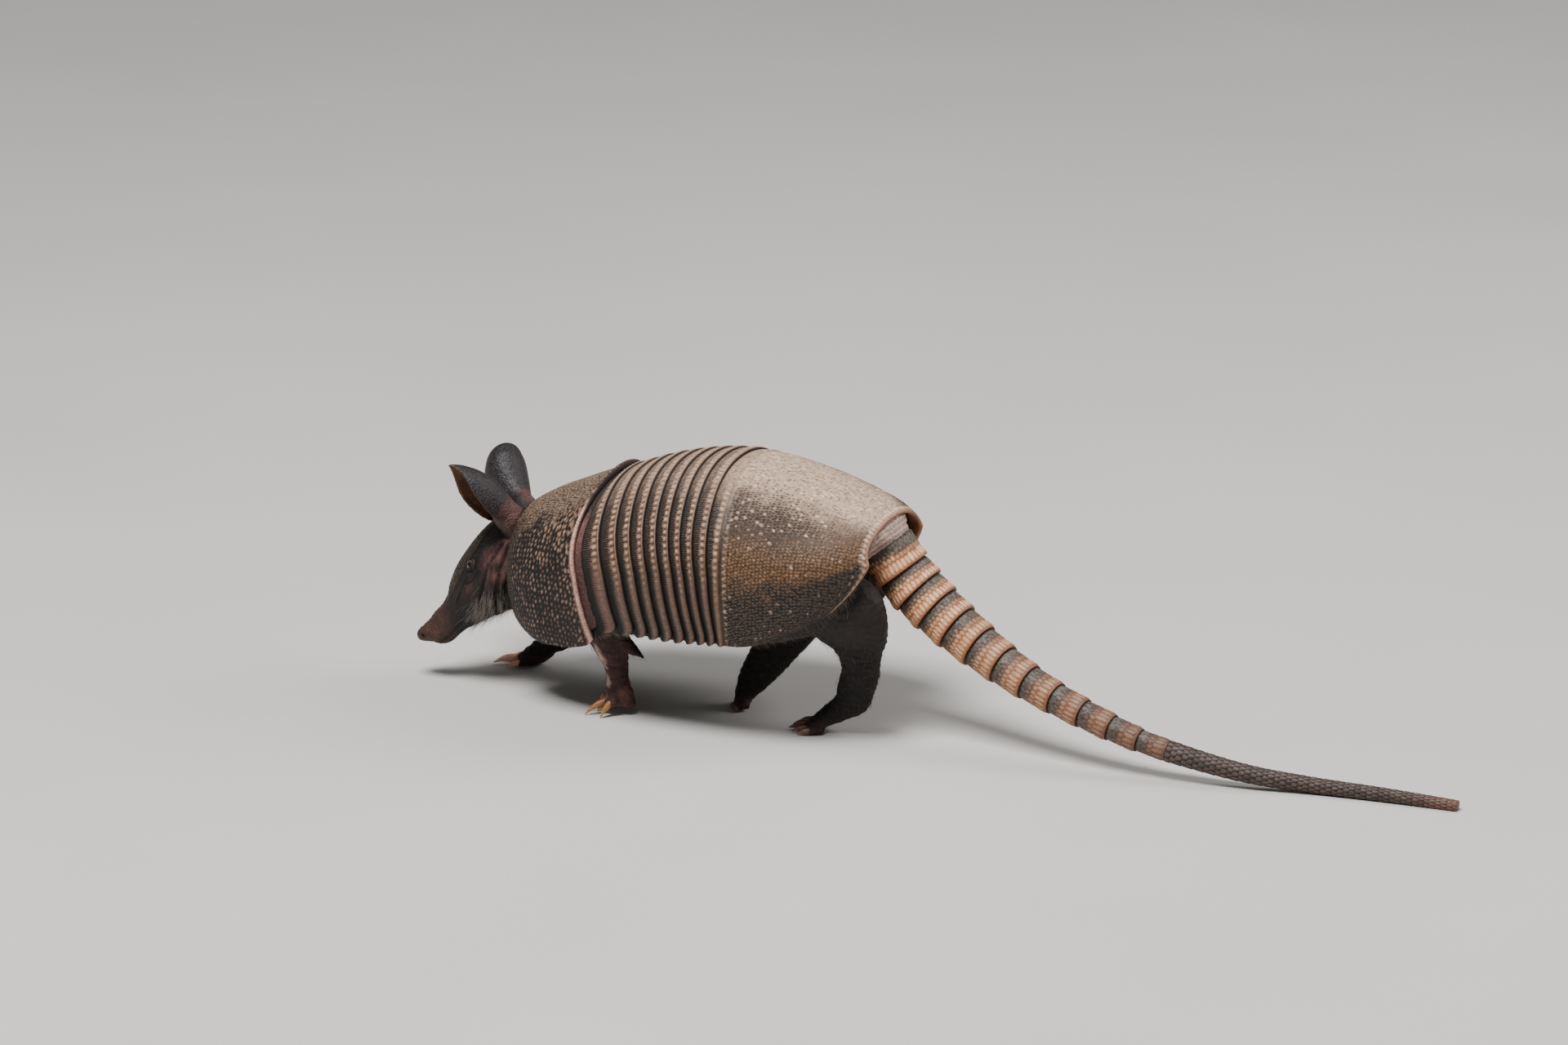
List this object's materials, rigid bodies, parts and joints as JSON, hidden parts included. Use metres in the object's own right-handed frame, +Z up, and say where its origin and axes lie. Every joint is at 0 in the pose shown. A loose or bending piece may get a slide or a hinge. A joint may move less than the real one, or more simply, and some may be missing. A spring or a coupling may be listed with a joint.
{
  "type": "armadillo",
  "caption": "Life-size still model of an armadillo walking with its head low, with a banded shell and a ringed tail whose end lies on the floor.",
  "frame": {"origin": "centre of the bounding box, on the floor that the feet and the tail rest on", "axes": "+X from the nose towards the tail, +Y towards the animal's right side, +Z up from the floor"},
  "size_m": [0.6882, 0.153, 0.1664],
  "materials": {
    "shoulder_shield": "dark brown horn scales, half matt",
    "band": "brown horn bands with pale rear scales, half matt",
    "hip_shield": "dusty brown horn scales, half matt",
    "head_shield": "dark brown horn scales, half matt",
    "skin": "bare wrinkled skin, matt",
    "head_skin": "dark skin with small scales, matt",
    "snout_skin": "bare skin, half matt",
    "ear_skin": "thin grained skin, half matt",
    "eye": "black, wet gloss",
    "tail_ring": "tan horn scales, half matt",
    "tail_tip": "dark keeled scales, half matt",
    "claw": "horn, satin",
    "leg_skin": "dark skin with short hair and scales, matt"
  },
  "bodies": {
    "root": {"scapular_shield": "shoulder_shield", "band_1": "band", "band_2": "band", "band_3": "band", "band_4": "band", "band_5": "band", "band_6": "band", "band_7": "band", "band_8": "band", "band_9": "band", "pelvic_shield": "hip_shield", "head_shield": "head_shield", "trunk": "skin", "neck": "skin", "head": "head_skin", "snout": "snout_skin", "ear_left": "ear_skin", "ear_right": "ear_skin", "eye_left": "eye", "eye_right": "eye", "tail_ring_1": "tail_ring", "tail_ring_2": "tail_ring", "tail_ring_3": "tail_ring", "tail_ring_4": "tail_ring", "tail_ring_5": "tail_ring", "tail_ring_6": "tail_ring", "tail_ring_7": "tail_ring", "tail_ring_8": "tail_ring", "tail_ring_9": "tail_ring", "tail_ring_10": "tail_ring", "tail_ring_11": "tail_ring", "tail_ring_12": "tail_ring", "tail_tip": "tail_tip", "front_left_leg": "leg_skin", "front_left_foot": "leg_skin", "front_left_foot_claw_1": "claw", "front_left_foot_claw_2": "claw", "front_left_foot_claw_3": "claw", "front_left_foot_claw_4": "claw", "front_right_leg": "leg_skin", "front_right_foot": "leg_skin", "front_right_foot_claw_1": "claw", "front_right_foot_claw_2": "claw", "front_right_foot_claw_3": "claw", "front_right_foot_claw_4": "claw", "hind_left_leg": "leg_skin", "hind_left_foot": "leg_skin", "hind_left_foot_claw_1": "claw", "hind_left_foot_claw_2": "claw", "hind_left_foot_claw_3": "claw", "hind_left_foot_claw_4": "claw", "hind_left_foot_claw_5": "claw", "hind_right_leg": "leg_skin", "hind_right_foot": "leg_skin", "hind_right_foot_claw_1": "claw", "hind_right_foot_claw_2": "claw", "hind_right_foot_claw_3": "claw", "hind_right_foot_claw_4": "claw", "hind_right_foot_claw_5": "claw"}
  },
  "joints": []
}
